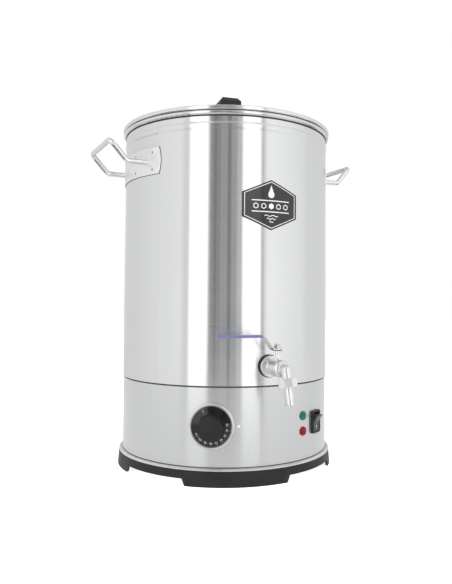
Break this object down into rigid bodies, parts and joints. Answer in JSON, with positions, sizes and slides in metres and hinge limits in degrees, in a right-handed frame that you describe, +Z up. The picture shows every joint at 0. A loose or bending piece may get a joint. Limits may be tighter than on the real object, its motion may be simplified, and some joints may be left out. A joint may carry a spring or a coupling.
{
  "type": "electric brew kettle",
  "caption": "Electric brew kettle: stainless vessel with loose lid, side handles and a ball-valve tap, on a heater skirt with thermostat dial, lamps, rocker switch and black foot ring.",
  "frame": {"origin": "centre of the plane the four feet stand on, on the vessel's axis", "axes": "+Z up along the vessel's axis, -Y the control side, X along the two side handles"},
  "size_m": [0.4196, 0.4051, 0.574],
  "materials": {
    "brushed_steel": "brushed",
    "polished_steel": "polished",
    "cast_steel": "satin",
    "zinc_steel": "satin",
    "black_plastic": "matte",
    "gloss_black": "gloss",
    "rocker_black": "satin",
    "badge_black": "satin",
    "aluminium_plate": "satin",
    "element_sheath": "heat tinted",
    "ceramic_white": "matte",
    "copper": "satin",
    "green_lens": "gloss",
    "red_lens": "gloss",
    "wire_sleeve": "satin",
    "black_rubber": "matte",
    "ptfe": "satin",
    "blue_vinyl": "satin",
    "red_button": "satin",
    "white_print": "satin"
  },
  "bodies": {
    "kettle": {"vessel": "brushed_steel", "base_skirt": "brushed_steel", "seam_seals": "black_rubber", "trim_ring": "brushed_steel", "base_ring": "black_plastic", "bottom_cover": "zinc_steel", "bottom_screws": "zinc_steel", "left_handle_plate": "brushed_steel", "left_handle_rod": "polished_steel", "right_handle_plate": "brushed_steel", "right_handle_rod": "polished_steel", "badge": "badge_black", "heat_plate": "aluminium_plate", "heating_element": "element_sheath", "thermostat_body": "ceramic_white", "thermostat_bulb": "copper", "thermostat_screws": "zinc_steel", "dial_bezel": "polished_steel", "overheat_cutout": "ceramic_white", "green_lamp": "green_lens", "red_lamp": "red_lens", "lamp_nuts": "black_plastic", "switch_housing": "black_plastic", "cable_gland": "black_plastic", "gland_nut": "black_plastic", "terminal_block": "ceramic_white", "wiring": "wire_sleeve", "tap_gasket_outer": "black_rubber", "tap_gasket_inner": "black_rubber", "tap_locknut": "cast_steel", "valve_body": "cast_steel", "ball_seats": "ptfe", "packing_nut": "cast_steel", "spout_elbow": "cast_steel", "union_nut": "cast_steel", "outlet_tube": "cast_steel"},
    "lid": {"lid_pan": "brushed_steel", "lid_handle": "black_plastic", "lid_handle_screws": "zinc_steel"},
    "tap_lever": {"stem_washer": "black_rubber", "lever_plate": "cast_steel", "lever_sleeve": "blue_vinyl", "lever_nut": "cast_steel", "valve_stem": "polished_steel", "valve_ball": "polished_steel"},
    "dial": {"dial_knob": "gloss_black", "dial_shaft": "polished_steel"},
    "rocker_body": {"rocker": "rocker_black"},
    "reset_body": {"reset_button": "red_button"}
  },
  "joints": [
    {"name": "lid_lift", "type": "slide", "parent": "kettle", "child": "lid", "axis": [0, 0, 1], "range_m": [0, 0.25]},
    {"name": "tap_turn", "type": "hinge", "parent": "kettle", "child": "tap_lever", "pos_m": [-0.01006, -0.18573, 0.2], "axis": [0, 0, 1], "range_deg": [0, 90]},
    {"name": "dial_turn", "type": "hinge", "parent": "kettle", "child": "dial", "pos_m": [-0.0844, -0.13828, 0.0795], "axis": [0.521, 0.8536, 0], "range_deg": [0, 270]},
    {"name": "rocker_tip", "type": "hinge", "parent": "kettle", "child": "rocker_body", "pos_m": [0.0806, -0.13415, 0.0735], "axis": [-0.8572, -0.515, 0], "range_deg": [0, 28]},
    {"name": "reset_push", "type": "slide", "parent": "kettle", "child": "reset_body", "axis": [0, 0, 1], "range_m": [0, 0.002], "stiffness_N_per_m": 400, "springref_m": -0.001}
  ]
}
